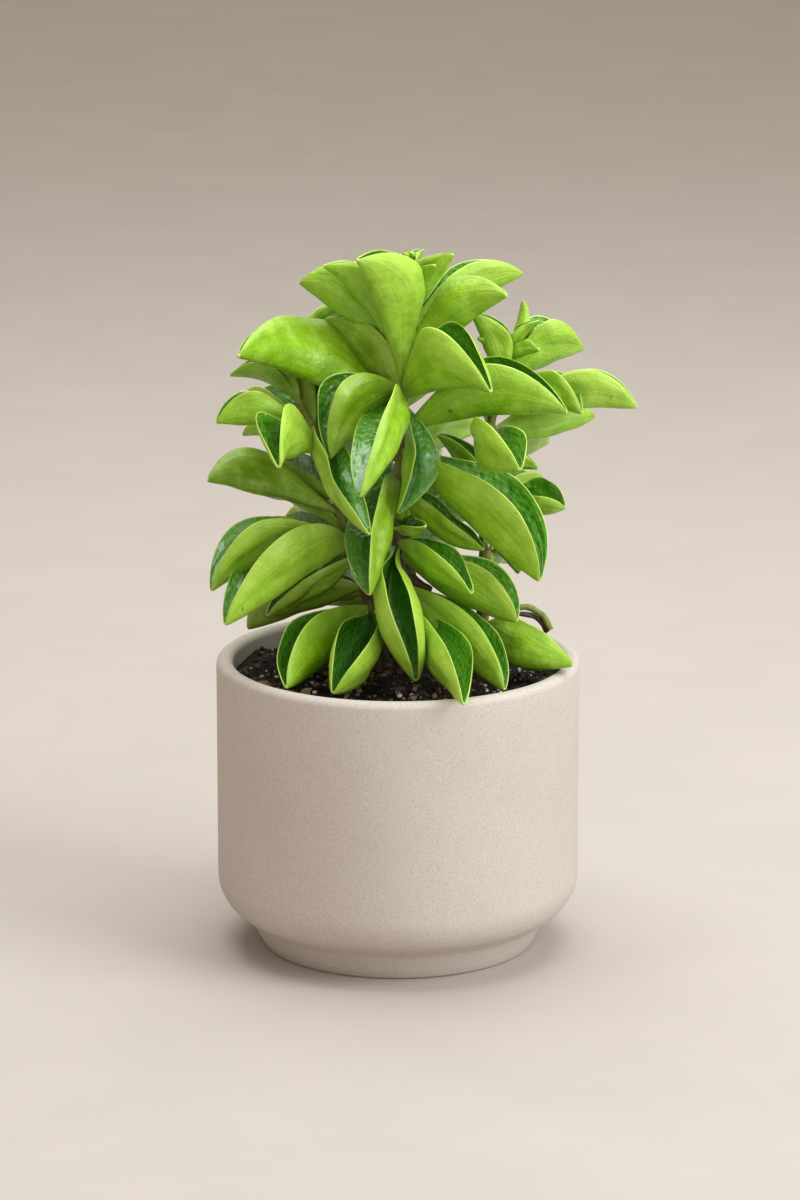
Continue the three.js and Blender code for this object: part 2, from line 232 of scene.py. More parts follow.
def makePot():
    shape = potShape
    radius, rim, floor = shape["radius"], shape["rim"], shape["floor"]
    inner = radius - shape["wall"]
    turnCentre = (radius - shape["turnRadius"], shape["turnHeight"])
    rimHeight = shape["height"] - rim
    profile = [(0, 0)]
    profile += [(shape["footRadius"] + past, height) for past, height in shape["footCurve"]]
    profile += arcPoints(turnCentre, shape["turnRadius"], shape["turnFrom"], 0, shape["turnSteps"])
    profile += [(radius, height) for height in shape["outsideRings"]]
    profile += arcPoints((radius - rim, rimHeight), rim, 0, 90, shape["rimSteps"])
    profile += arcPoints((inner + rim, rimHeight), rim, 90, 180, shape["rimSteps"])
    profile += [(inner, height) for height in (*shape["insideRings"], shape["turnHeight"])]
    profile += [(inner + inward, floor + up) for inward, up in shape["innerCorner"]]
    profile += [(0, floor)]
    makePiece("stoneware_pot", spunForm(profile, shape["turns"]), [makeStoneware()], ["pot"])
    print("pot thrown")


# the soil: a dark crumbly top with bark chips and pale mineral bits

soilShape = {
    "level": 91.6,
    "radius": 53.95,
    "floor": 7.45,
    "sideRings": (70, 24.5),
    "topFrom": 80,  # points above this height are the soil's top
    "ripple": 0.7,
    "lumpHeight": 1.56,
    "lumpSize": 7,
    "gritHeight": 0.55,
    "gritSize": 1.4,
    "rings": 44,
    "turns": 132,
}

soilTones = {
    "grainSize": 1.3,
    "patchSize": 9,
    "patchShare": 0.6,
    "patch": (0.012, 0.008, 0.006),
    "grain": [(0.30, (0.003, 0.002, 0.001)), (0.55, (0.014, 0.009, 0.006)), (0.72, (0.045, 0.029, 0.018))],
}

soilBits = {
    "seed": 11,
    "reach": 52.4,
    "tilt": 0.7,
    "lift": 0.12,  # how far a bit's middle stands above the soil, for its size
    "rough": 0.12,
    "grainSize": 0.9,
    "kinds": [
        # count, size, how much it is flattened, material, tone
        (1500, (0.7, 2.4), (0.6, 1.0), 0, (0, 0.75)),
        (240, (1.8, 5.2), (0.25, 0.55), 0, (0.35, 1)),
        (170, (0.8, 2.4), (0.6, 0.95), 1, (0, 1)),
    ],
    "tones": {
        "barkCrumb": [(0.15, (0.005, 0.003, 0.002)), (0.5, (0.030, 0.018, 0.010)),
                      (0.9, (0.290, 0.195, 0.125))],
        "paleMineral": [(0.15, (0.20, 0.17, 0.14)), (0.5, (0.45, 0.41, 0.36)), (0.9, (0.75, 0.71, 0.65))],
    },
}


def makeSoilMaterial():
    material, tree, shader = startMaterial("moistSoil", Roughness=0.9, Specular_IOR_Level=0.2)
    place = ownPosition(tree)
    grain = noiseValue(tree, place, soilTones["grainSize"], 4, 0.7)
    patch = noiseValue(tree, place, soilTones["patchSize"], 3)
    patches = span(tree, patch, 0.45, 0.7, 0, soilTones["patchShare"])
    colour = ramp(tree, grain, soilTones["grain"])
    feed(tree, shader, "Base Color", blend(tree, patches, colour, soilTones["patch"]))
    feed(tree, shader, "Roughness", span(tree, grain, 0.3, 0.7, 0.65, 0.95))
    bump(tree, shader, grain, 0.8, 0.8)
    return material


def makeBitMaterial(name):
    material, tree, shader = startMaterial(name, Roughness=0.7, Specular_IOR_Level=0.3)
    grain = noiseValue(tree, ownPosition(tree), soilBits["grainSize"], 3, 0.7)
    tone = weighed(tree, (attribute(tree, "tone"), 0.7), (grain, 0.4))
    feed(tree, shader, "Base Color", ramp(tree, tone, soilBits["tones"][name]))
    bump(tree, shader, grain, 0.6, 0.4)
    return material


def soilTop(x, y):
    # long waves, then lumps, then grit
    wave = sin(x * 0.21 + 1.3) * cos(y * 0.19 - 0.4) + 0.6 * sin(x * 0.47 - y * 0.31)
    lump = noise.fractal(Vector((x, y, 3)) / soilShape["lumpSize"], 1, 2, 4)
    grit = noise.noise(Vector((x, y, 8)) / soilShape["gritSize"])
    return (soilShape["level"] + wave * soilShape["ripple"]
            + lump * soilShape["lumpHeight"] + grit * soilShape["gritHeight"])


def makeSoil():
    shape = soilShape
    radius, floor, rings = shape["radius"], shape["floor"], shape["rings"]
    profile = [(radius * ring / rings, shape["level"]) for ring in range(rings + 1)]
    profile += [(radius, height) for height in shape["sideRings"]]
    profile += [(radius + inward, floor + up) for inward, up in potShape["innerCorner"]]
    profile += [(0, floor)]
    form = spunForm(profile, shape["turns"])
    for vert in form.verts:
        if vert.co.z > shape["topFrom"] * mm:
            vert.co.z = soilTop(vert.co.x / mm, vert.co.y / mm) * mm
    makePiece("potting_soil", form, [makeSoilMaterial()], ["soil"])


def scatterBits(form, rng, count, sizes, squash, materialIndex, toneRange):
    toneLayer = form.verts.layers.float["tone"]
    for _ in range(count):
        distance = soilBits["reach"] * rng.random() ** 0.5
        angle = rng.uniform(0, 2 * pi)
        x, y = distance * cos(angle), distance * sin(angle)
        size = sizes[0] + (sizes[1] - sizes[0]) * rng.random() ** 2
        turn = Matrix.Rotation(rng.uniform(0, 2 * pi), 4, "Z")
        tilt = Matrix.Rotation(rng.uniform(-soilBits["tilt"], soilBits["tilt"]), 4, "X")
        stretch = Matrix.Diagonal((1, rng.uniform(*squash), rng.uniform(*squash), 1))
        place = Matrix.Translation(Vector((x, y, soilTop(x, y) + size * soilBits["lift"])) * mm)
        made = bmesh.ops.create_icosphere(form, subdivisions=1, radius=size * mm / 2,
                                          matrix=place @ turn @ tilt @ stretch)
        tone = rng.uniform(*toneRange)
        for vert in made["verts"]:
            vert.co += Vector(rng.uniform(-1, 1) for _ in range(3)) * size * soilBits["rough"] * mm
            vert[toneLayer] = tone
            for face in vert.link_faces:
                face.material_index = materialIndex


def makeSoilBits():
    rng = random.Random(soilBits["seed"])
    form = bmesh.new()
    form.verts.layers.float.new("tone")
    for kind in soilBits["kinds"]:
        scatterBits(form, rng, *kind)
    materials = [makeBitMaterial(name) for name in soilBits["tones"]]
    makePiece("soil_crumbs", form, materials, ["soil"], smooth=False)
    print("soil filled in")


# the stems: brown-green, with a swelling where each leaf joins

stemRoutes = {
    "center": [(0, 0, 81), (0.5, -0.5, 115), (0, -1, 150), (1.2, 0, 180), (2, 0, 205), (3, 1, 233)],
    "left": [(-5, 2, 81), (-8, 1.5, 108), (-17, -1, 141), (-26, -3, 171), (-32, 3, 182), (-37, 13, 194)],
    "right": [(27, 8, 81), (28.5, 8, 120), (29, 6, 150), (30, 4, 172), (34, 5, 190), (38, 8, 204)],
    "back": [(4, 26, 81), (4, 30, 120), (1, 34, 155), (-2, 37, 182)],
}

stemShape = {
    "footRadius": 2.3,
    "tipRadius": 0.9,
    "sides": 14,
    "steps": 120,
    "nodeSwell": 0.22,
    "nodeReach": 1.9,
    "roughness": 0.16,
    "roughSize": 2.2,
}

stemTones = {
    "streakSize": 1.6,
    "streakLength": 0.35,  # the smaller, the longer the streaks along the stem
    "patchSize": 12,
    "bark": [(0.32, (0.028, 0.014, 0.007)), (0.52, (0.085, 0.046, 0.022)), (0.72, (0.190, 0.120, 0.062))],
    "green": [(0.3, (0.150, 0.200, 0.020)), (0.7, (0.360, 0.460, 0.060))],
}


def stemPoint(route, share):
    # the same smooth line as the solid's: a spline through the points, a half tangent at each
    points = [Vector(point) for point in route]
    points = [points[0] * 2 - points[1]] + points + [points[-1] * 2 - points[-2]]
    last = len(route) - 1
    place = min(max(share, 0), 1) * last
    index = min(int(place), last - 1)
    t = place - index
    before, start, end, after = points[index:index + 4]
    leave, arrive = (end - before) / 2, (after - start) / 2
    return (start + leave * t + (3 * (end - start) - 2 * leave - arrive) * t ** 2
            + (2 * (start - end) + leave + arrive) * t ** 3)


def shareAtHeight(route, height):
    low, high = 0.0, 1.0
    for _ in range(30):
        middle = (low + high) / 2
        if stemPoint(route, middle).z < height:
            low = middle
        else:
            high = middle
    return low


def makeStemMaterial():
    material, tree, shader = startMaterial("brownStem", Roughness=0.6)
    streak = noiseValue(tree, ownPosition(tree, (1, 1, stemTones["streakLength"])),
                        stemTones["streakSize"], 4, 0.65)
    patch = noiseValue(tree, ownPosition(tree), stemTones["patchSize"], 3)
    young = maths(tree, "ADD", attribute(tree, "young"), span(tree, patch, 0.4, 0.65, -0.15, 0.3))
    bark, green = ramp(tree, streak, stemTones["bark"]), ramp(tree, streak, stemTones["green"])
    feed(tree, shader, "Base Color", blend(tree, span(tree, young, 0.2, 1.0), bark, green))
    bump(tree, shader, streak, 0.5, 0.5)
    return material


def ringPlace(route, share, radius):
    near = 0.004
    ahead = (stemPoint(route, share + near) - stemPoint(route, share - near)).normalized()
    turn = Vector((0, 0, 1)).rotation_difference(ahead).to_matrix().to_4x4()
    return Matrix.Translation(stemPoint(route, share) * mm) @ turn @ Matrix.Scale(radius * mm, 4)


def drawTube(form, route, sides, radii):
    # a ring for each radius along the route, drawn out of the ring before it
    ring = bmesh.ops.create_circle(form, cap_ends=True, segments=sides, radius=1)["verts"]
    edges, place, rings = ring[0].link_faces[0].edges[:], Matrix(), []
    for step, radius in enumerate(radii):
        if step:
            lifted = bmesh.ops.extrude_edge_only(form, edges=edges)["geom"]
            ring = [item for item in lifted if isinstance(item, bmesh.types.BMVert)]
            edges = [item for item in lifted if isinstance(item, bmesh.types.BMEdge)]
        target = ringPlace(route, step / (len(radii) - 1), radius)
        bmesh.ops.transform(form, matrix=target @ place.inverted(), verts=ring)
        place = target
        rings.append(ring)
    bmesh.ops.holes_fill(form, edges=edges)
    return rings


def makeStem(side, material, joints):
    route, shape = stemRoutes[side], stemShape
    radii = []
    for step in range(shape["steps"] + 1):
        share = step / shape["steps"]
        height = stemPoint(route, share).z
        swell = sum(max(0, 1 - ((height - joint) / shape["nodeReach"]) ** 2) for joint in joints)
        slim = shape["footRadius"] + (shape["tipRadius"] - shape["footRadius"]) * share
        radii.append(slim + shape["nodeSwell"] * swell)
    form = bmesh.new()
    youngLayer = form.verts.layers.float.new("young")
    for step, ring in enumerate(drawTube(form, route, shape["sides"], radii)):
        for vert in ring:
            vert[youngLayer] = step / shape["steps"]
            vert.co += noise.noise_vector(vert.co / mm / shape["roughSize"]) * shape["roughness"] * mm
    makePiece(f"stem_{side}_wood", form, [material], [f"stem_{side}"])


# the leaves: folded along the keel like a boat, lime outside and dark and glossy inside

leafTones = {
    # tone 0 is a young bright leaf, 1 an old olive one; the bluish paleness of the bright tones is in part
    # a painted sheen, and the dark olive tones are in part painted shade on leaves set back in shadow
    "outside": [(0.0, (0.420, 0.640, 0.065)), (0.35, (0.315, 0.550, 0.020)),
                (0.65, (0.225, 0.430, 0.002)), (1.0, (0.215, 0.320, 0.020))],
    "inside": [(0.0, (0.070, 0.290, 0.016)), (0.6, (0.050, 0.220, 0.012)), (1.0, (0.036, 0.140, 0.010))],
    "margin": [(0.3, (0.400, 0.600, 0.060)), (0.7, (0.540, 0.740, 0.150))],
}

leafTints = {
    # pale streaks: lighter veins in part, and in part a painted sheen in their bluish paleness
    "paleStreakAndSheen": (0.470, 0.660, 0.140),
    "streakDeep": (0.520, 0.660, 0.400),
    # painted shade: a darkening laid along the keel, where the folded halves shade it
    "keel": (0.550, 0.700, 0.500),
    # the leaf's pale margin, its bluish paleness a painted sheen in part
    "paleEdgeAndSheen": (0.430, 0.620, 0.090),
    "stalk": (0.340, 0.420, 0.080),
    "dot": (0.050, 0.070, 0.010),
    "insidePale": (0.150, 0.420, 0.025),
    "insideDeep": (0.022, 0.120, 0.008),
    "midrib": (0.240, 0.480, 0.060),
}

leafGrain = {
    "mottleSize": 6,
    "cellSize": 0.9,
    "dotSize": 2.6,
    "pebbleSize": 1.9,
    "marginSize": 3,
    "streaksAcross": 9,
    "streaksAlong": 2.2,
    "streakShift": 40,  # sets each leaf's streaks apart from the next one's
}

leafShape = {
    "across": 14,
    "along": 22,
    "stalkHalf": 1.1,
    "tipHalf": 0.5,
    "keelAngle": 35,
    "marginAngle": 105,
    "bluntness": 0.72,
    "thickness": 1.7,
    "keelThickness": 0.75,
    "marginThickness": 0.22,
    "thinnedBy": 0.24,
    "closedBelow": 4,  # half width under which the fold opens out
    "lopsided": 0.06,
    "ripple": 0.2,
    "ripples": 9,
    "wave": 0.7,
    "waves": (1.2, 2.2),
    "pleat": 1.3,
    "pleatSpread": (0.3, 1.2),
    "pleatAt": 0.5,
    "pleatReach": 0.17,
    "lump": 1.4,
    "lumpsAcross": 2.6,
    "lumpsAlong": 4.2,
    "lumpShift": 40,
    "fullSize": 10,  # half width of a leaf with dents and lumps at full depth
    "crowding": 0.016,
    "tones": (0.2, 0.75),
    "seed": 7,
}

# leaves whose tone isn't left to chance: their place in the rows below; the dark tones given to leaves set
# back in shadow are painted shade in part
knownTones = {
    "center": {0: 0.2, 1: 0.35, 2: 0.45, 3: 0.3, 4: 0.4, 6: 0.2, 9: 0.3, 10: 0.4, 11: 0.7, 12: 0.45,
               13: 0.25, 16: 0.35, 18: 0.15, 19: 0.15, 20: 0.05, 22: 0.85, 23: 0.65, 29: 0.2},
    "left": {0: 0.8, 5: 0.2, 6: 0.4, 9: 0.9, 10: 0.95, 11: 0.85, 12: 0.25, 13: 0.2, 14: 0.9, 15: 0.85},
    "right": {3: 0.25, 4: 0.2, 5: 0.05, 8: 0.1, 9: 0.45, 10: 0.3, 13: 0.95, 14: 0.7},
    "back": {},
}

# each leaf: height of its joint on the stem, its tip, half the flattened width over the length,
# roll of the opening, sag, where it is widest, how far it folds, sideways bow
leafRows = {
    "center": [
        (186, (-13, -26, 235), 0.36, -10, -0.05, 0.65, 1.25, 0),
        (187, (-24, -9, 230), 0.32, 10, -0.09, 0.6, 1, 0),
        (204, (-32, 4, 222), 0.44, 30, 0.07, 0.65, 1, 0),
        (195, (35, -18, 222), 0.4, -45, -0.03, 0.55, 1.15, 0),
        (209, (18, -5, 233), 0.34, -20, 0.03, 0.55, 1, 0),
        (212, (12, -8, 230), 0.26, -20, 0.03, 0.55, 1, 0),
        (206, (41, 14, 223), 0.32, -10, 0.02, 0.6, 1, 0),
        (220, (-4, 5, 232), 0.34, 0, 0, 0.55, 1, 0),
        (222, (8, 9, 232), 0.32, 0, 0, 0.55, 1, 0),
        (184, (30, -31, 193), 0.56, 5, -0.04, 0.55, 1.25, -0.04),
        (173, (55, -16, 183), 0.38, 5, -0.03, 0.6, 1.2, 0),
        (187, (-22, -17, 168), 0.62, 9, 0, 0.5, 1.1, 0),
        (184, (-12, -50, 163), 0.29, 46, 0.06, 0.45, 0.65, -0.12),
        (183, (0, -18, 150), 0.3, -50, -0.05, 0.55, 0.65, -0.02),
        (141, (9, -19, 146), 0.32, 30, 0.13, 0.5, 0.85, 0.04),
        (154, (28, -18, 138), 0.3, 5, 0.19, 0.45, 1.2, -0.04),
        (168, (46, -25, 129), 0.36, -5, 0.05, 0.6, 0.9, 0),
        (136, (24, -29, 126), 0.32, -5, 0.08, 0.5, 0.95, 0),
        (133, (39, -19, 114), 0.4, -10, 0.11, 0.6, 0.85, -0.02),
        (122, (34.5, -38, 96), 0.3, -25, 0.08, 0.55, 1, -0.04),
        (111, (21, -66, 99), 0.24, -20, 0.05, 0.5, 1, -0.02),
        (157, (-9, -39, 128), 0.32, 50, 0.05, 0.4, 0.45, 0.02),
        (180, (-24, 9, 209), 0.4, 0, 0, 0.55, 1, 0),
        (176, (-51, -33, 205), 0.4, 40, -0.1, 0.45, 1.35, 0.08),
        (211, (6, 26, 222), 0.38, 0, 0, 0.55, 1, 0),
        (196, (-14, 32, 210), 0.38, 0, 0, 0.55, 1, 0),
        (190, (6, 38, 200), 0.38, 0, 0.04, 0.55, 1, 0),
        (180, (-34, 23, 186), 0.42, 0, 0.04, 0.55, 1, 0),
        (181, (25, 27, 194), 0.36, 0, 0.04, 0.55, 1, 0),
        (136, (6, -38, 99), 0.56, 0, 0.06, 0.65, 1.35, 0.1),
        (190, (-5, 14, 216), 0.4, 0, 0, 0.55, 1, 0),
    ],
    "left": [
        (152, (-30, 12, 168), 0.4, 0, 0.04, 0.55, 1, 0),
        (114, (-36, -42, 98), 0.36, 20, 0.1, 0.55, 1.1, 0.08),
        (113, (-21, -45, 97), 0.5, -5, 0.18, 0.6, 1.15, -0.08),
        (175, (-9, -35, 147), 0.24, -15, 0.1, 0.4, 0.75, 0.04),
        (190, (-15, 29, 210), 0.28, -30, 0, 0.55, 1, 0),
        (167, (-38, -39, 170), 0.5, 20, -0.05, 0.6, 1.1, 0.06),
        (176, (-59, -12, 179), 0.4, 10, 0.03, 0.65, 1, 0),
        (173, (-51, 10, 170), 0.3, 0, 0, 0.55, 1, 0),
        (183, (-55, 10, 190), 0.36, -5, -0.07, 0.55, 1, 0),
        (181, (-48, 11, 199), 0.3, 20, 0, 0.55, 1, 0),
        (173, (-39, 20, 197), 0.3, 25, 0, 0.55, 1.2, 0),
        (146, (-62, -13, 160), 0.4, 65, -0.04, 0.65, 1.1, 0),
        (138, (-61, -18, 124), 0.36, 10, -0.04, 0.6, 0.65, 0),
        (136, (-56, -31, 116), 0.4, 15, 0.04, 0.45, 0.85, 0),
        (131, (-43, -8, 113), 0.34, -15, 0.12, 0.5, 1, 0),
        (121, (-50, 14, 103), 0.38, 0, 0.04, 0.55, 1, 0),
        (140, (-36, 6, 149), 0.26, 0, 0, 0.55, 1, 0),
        (170, (-52, 32, 175), 0.36, 0, 0.04, 0.55, 1, 0),
        (166, (-38, 40, 166), 0.38, 0, 0.05, 0.55, 1, 0),
        (152, (-48, 38, 144), 0.36, 0, 0.05, 0.55, 1, 0),
        (144, (-34, 46, 136), 0.34, 0, 0.05, 0.55, 1, 0),
        (133, (-50, 36, 124), 0.34, 0, 0.05, 0.55, 1, 0),
        (119, (-30, 33, 108), 0.34, 0, 0.05, 0.55, 1, 0),
    ],
    "right": [
        (201, (41, 14, 214), 0.3, 120, 0, 0.55, 1, 0),
        (197, (46, 6, 209), 0.28, 0, 0, 0.55, 1, 0),
        (198, (49, 12, 205), 0.28, 0, 0, 0.55, 1, 0),
        (189, (61, 18, 197), 0.58, -5, 0.02, 0.6, 0.95, 0),
        (196, (46, -2, 201), 0.36, -30, 0, 0.55, 1, 0),
        (188, (24, 3, 212), 0.4, -10, 0, 0.55, 1, 0),
        (195, (26, 2, 204), 0.3, 0, 0, 0.55, 1, 0),
        (183, (60, -8, 181), 0.44, -15, -0.02, 0.6, 0.95, 0),
        (180, (78, -3, 182), 0.32, -10, 0.01, 0.65, 0.9, 0),
        (172, (65, 20, 174), 0.34, -40, 0.12, 0.55, 1, 0),
        (173, (39, -46, 171), 0.36, -15, 0.14, 0.6, 0.95, 0.12),
        (160, (46, 4, 160), 0.38, -10, 0, 0.55, 1, 0),
        (150, (55, -1, 148), 0.48, 20, 0.18, 0.65, 0.8, 0),
        (136, (40, 14, 122), 0.4, 0, 0, 0.55, 1, 0),
        (148, (13, 6, 171), 0.3, -20, 0, 0.55, 1, 0),
        (104, (57, -25, 101), 0.36, -55, 0.2, 0.45, 0.95, 0.04),
        (184, (46, 38, 190), 0.36, 0, 0, 0.55, 1, 0),
        (174, (30, 46, 180), 0.38, 0, 0.04, 0.55, 1, 0),
        (161, (50, 42, 160), 0.36, 0, 0.04, 0.55, 1, 0),
        (156, (34, 46, 152), 0.38, 0, 0.04, 0.55, 1, 0),
        (150, (50, 26, 146), 0.38, 0, 0.04, 0.55, 1, 0),
        (142, (32, 46, 132), 0.38, 0, 0.04, 0.55, 1, 0),
        (128, (40, 42, 120), 0.36, 0, 0.04, 0.55, 1, 0),
        (120, (36, 30, 106), 0.34, 0, 0.04, 0.55, 1, 0),
        (112, (30, 48, 102), 0.36, 0, 0.05, 0.55, 1, 0),
    ],
    "back": [
        (176, (-22, 54, 184), 0.4, 0, 0, 0.55, 1, 0),
        (174, (16, 60, 180), 0.4, 0, 0, 0.55, 1, 0),
        (178, (-4, 48, 206), 0.4, 0, 0, 0.55, 1, 0),
        (164, (-6, 74, 166), 0.4, 0, 0.05, 0.55, 1, 0),
        (158, (26, 68, 158), 0.4, 0, 0.05, 0.55, 1, 0),
        (156, (-34, 62, 160), 0.4, 0, 0.05, 0.55, 1, 0),
        (146, (12, 80, 142), 0.38, 0, 0.05, 0.55, 1, 0),
        (142, (-24, 76, 140), 0.38, 0, 0.05, 0.55, 1, 0),
        (136, (34, 68, 130), 0.38, 0, 0.05, 0.55, 1, 0),
        (130, (-40, 60, 124), 0.38, 0, 0.05, 0.55, 1, 0),
        (122, (18, 74, 112), 0.38, 0, 0.05, 0.55, 1, 0),
        (118, (-14, 76, 108), 0.38, 0, 0.05, 0.55, 1, 0),
        (110, (-34, 58, 101), 0.36, 0, 0.05, 0.55, 1, 0),
    ],
}


def leafStreaks(tree, size, detail):
    # long soft streaks that run from the joint to the tip
    grain = addNode(tree, "ShaderNodeCombineXYZ", {
        "X": maths(tree, "MULTIPLY", attribute(tree, "across"), leafGrain["streaksAcross"]),
        "Y": maths(tree, "MULTIPLY", attribute(tree, "along"), leafGrain["streaksAlong"]),
        "Z": maths(tree, "MULTIPLY", attribute(tree, "tint"), leafGrain["streakShift"])}).outputs["Vector"]
    return addNode(tree, "ShaderNodeTexNoise", {
        "Vector": grain, "Scale": size, "Detail": detail, "Roughness": 0.6}).outputs["Fac"]


def makeOutside():
    material, tree, shader = startMaterial(
        "limeLeafBack", Roughness=0.42, Specular_IOR_Level=0.4, Coat_Weight=0.2, Coat_Roughness=0.28,
        Subsurface_Weight=0.15, Subsurface_Scale=0.003, Subsurface_Radius=(0.6, 1.0, 0.15))
    place = ownPosition(tree)
    mottle = noiseValue(tree, place, leafGrain["mottleSize"], 4, 0.6)
    cell = noiseValue(tree, place, leafGrain["cellSize"], 2)
    dots = noiseValue(tree, place, leafGrain["dotSize"], 1, 0.3)
    streak = leafStreaks(tree, 1.0, 4)
    side = maths(tree, "ABSOLUTE", attribute(tree, "across"))
    colour = ramp(tree, attribute(tree, "tone"), leafTones["outside"])
    for value, low, high, share, tint, mode in (
            # the pale streaks and pale mottle carry a painted sheen in part
            (streak, 0.52, 0.78, 0.35, "paleStreakAndSheen", "MIX"),
            (streak, 0.48, 0.26, 0.4, "streakDeep", "MULTIPLY"),
            (mottle, 0.48, 0.30, 0.45, "paleStreakAndSheen", "MIX"),
            (mottle, 0.48, 0.70, 0.6, "streakDeep", "MULTIPLY"),
            # painted shade along the keel, where the fold shades itself
            (side, 0.35, 0.0, 0.45, "keel", "MULTIPLY"),
            # paler towards the margin: the leaf's own pale edge, with a painted sheen in part
            (side, 0.55, 1.0, 0.35, "paleEdgeAndSheen", "MIX"),
            (attribute(tree, "along"), 0.22, 0.0, 0.55, "stalk", "MIX"),
            (dots, 0.775, 0.80, 0.6, "dot", "MIX")):
        colour = blend(tree, span(tree, value, low, high, 0, share), colour, leafTints[tint], mode)
    feed(tree, shader, "Base Color", colour)
    feed(tree, shader, "Roughness", span(tree, mottle, 0.3, 0.7, 0.34, 0.48))
    bump(tree, shader, weighed(tree, (streak, 1.2), (mottle, 1.8), (cell, 0.3)), 0.7, 0.6)
    return material


def makeInside():
    material, tree, shader = startMaterial(
        "darkLeafFace", Roughness=0.22, Specular_IOR_Level=0.65, Coat_Weight=0.8, Coat_Roughness=0.1,
        Subsurface_Weight=0.08, Subsurface_Scale=0.003, Subsurface_Radius=(0.4, 1.0, 0.15))
    place = ownPosition(tree)
    mottle = noiseValue(tree, place, leafGrain["mottleSize"], 3)
    cells = addNode(tree, "ShaderNodeTexVoronoi", {
        "Vector": place, "Scale": 1 / (leafGrain["pebbleSize"] * mm)}, feature="SMOOTH_F1")
    pebble = cells.outputs["Distance"]
    streak = leafStreaks(tree, 1.3, 3)
    side = maths(tree, "ABSOLUTE", attribute(tree, "across"))
    tone = attribute(tree, "tone")
    youth = span(tree, tone, 0.6, 0.05, 0.35, 1.0)  # a young leaf is pale far in from its margins
    paling = maths(tree, "MULTIPLY", span(tree, side, 0.35, 0.98), youth)
    colour = ramp(tree, tone, leafTones["inside"])
    colour = blend(tree, span(tree, streak, 0.45, 0.75, 0, 0.4), colour, leafTints["insidePale"])
    colour = blend(tree, span(tree, mottle, 0.5, 0.75, 0, 0.4), colour, leafTints["insideDeep"])
    colour = blend(tree, span(tree, side, 0.07, 0.02, 0, 0.75), colour, leafTints["midrib"])
    feed(tree, shader, "Base Color", blend(tree, paling, colour, leafTints["insidePale"]))
    feed(tree, shader, "Roughness", span(tree, mottle, 0.3, 0.7, 0.16, 0.28))
    bump(tree, shader, weighed(tree, (pebble, 1.2), (streak, 1.1)), 0.9, 0.9)
    return material


def makeMargin():
    material, tree, shader = startMaterial("paleLeafMargin", Roughness=0.4, Subsurface_Weight=0.2,
                                           Subsurface_Scale=0.002)
    shade = noiseValue(tree, ownPosition(tree), leafGrain["marginSize"], 2)
    feed(tree, shader, "Base Color", ramp(tree, shade, leafTones["margin"]))
    return material


def halfWidth(wide, belly, length, share):
    shape = leafShape
    power = log(0.5) / log(belly)
    swell = max(sin(pi * share ** power), 0) ** shape["bluntness"]
    least = shape["stalkHalf"] + (shape["tipHalf"] - shape["stalkHalf"]) * share
    return max(wide * length * swell, least)


def addLeaf(form, layers, weights, base, row, rng, knownTone):
    tip, wide, roll, sag, belly, fold, bend = row
    shape = leafShape
    along = Vector(tip) - base
    length = along.length
    along.normalize()
    opening = Vector((0, 0, 1))
    opening = (opening - along * along.z).normalized()
    opening.rotate(Matrix.Rotation(radians(roll), 3, along))
    across = along.cross(opening)
    lean = radians(shape["keelAngle"])
    phase, waves, tint = rng.uniform(0, 2 * pi), rng.uniform(*shape["waves"]), rng.random()
    lopsided = rng.uniform(-shape["lopsided"], shape["lopsided"])
    tone = knownTone if knownTone is not None else rng.uniform(*shape["tones"])
    pleat = shape["pleat"] * rng.uniform(*shape["pleatSpread"])
    made = bmesh.ops.create_grid(form, x_segments=shape["across"], y_segments=shape["along"], size=1)
    for vert in made["verts"]:
        s, share = vert.co.x, (vert.co.y + 1) / 2
        share -= shape["crowding"] * sin(2 * pi * share)
        width = halfWidth(wide, belly, length, share)

        # the boat shape: each half is an arc that leaves the keel at a lean and closes by the fold
        closing = min(1, width / shape["closedBelow"]) * fold * (1 + lopsided * s)
        curl = max(radians(shape["marginAngle"] - shape["keelAngle"]) * closing, 0.02)
        angle = lean + curl * abs(s)
        sideways = width * (sin(angle) - sin(lean)) / curl
        upward = width * (cos(lean) - cos(angle)) / curl
        sign = (s > 0) - (s < 0)
        hump = length * 4 * share * (1 - share)
        keel = base + along * (length * share) - opening * (sag * hump) + across * (bend * hump)

        # small swells and dents along its outward direction
        middle = sin(pi * share)
        outward = across * (sign * sin(angle)) - opening * cos(angle)
        ripple = shape["ripple"] * middle * sin(shape["ripples"] * abs(s) + phase) * min(1, 3 * abs(s))
        wave = shape["wave"] * middle * abs(s) ** 3 * sin(2 * pi * waves * share + phase + s)
        depth = min(1.3, width / shape["fullSize"]) * middle
        drift = shape["pleatAt"] + 0.1 * sin(5 * share + phase)
        dent = -pleat * depth * exp(-((abs(s) - drift) / shape["pleatReach"]) ** 2)
        spot = Vector((s * shape["lumpsAcross"], share * shape["lumpsAlong"], tint * shape["lumpShift"]))
        lump = shape["lump"] * depth * noise.noise(spot)
        vert.co = (keel + across * (sign * sideways) + opening * upward
                   + outward * (ripple + wave + dent + lump)) * mm

        for name, value in (("across", s), ("along", share), ("tint", tint), ("tone", tone)):
            vert[layers[name]] = value
        full = 1 + (shape["keelThickness"] - 1) * min(1, share / shape["thinnedBy"])
        vert[weights][0] = full + (shape["marginThickness"] - full) * abs(s) ** 2


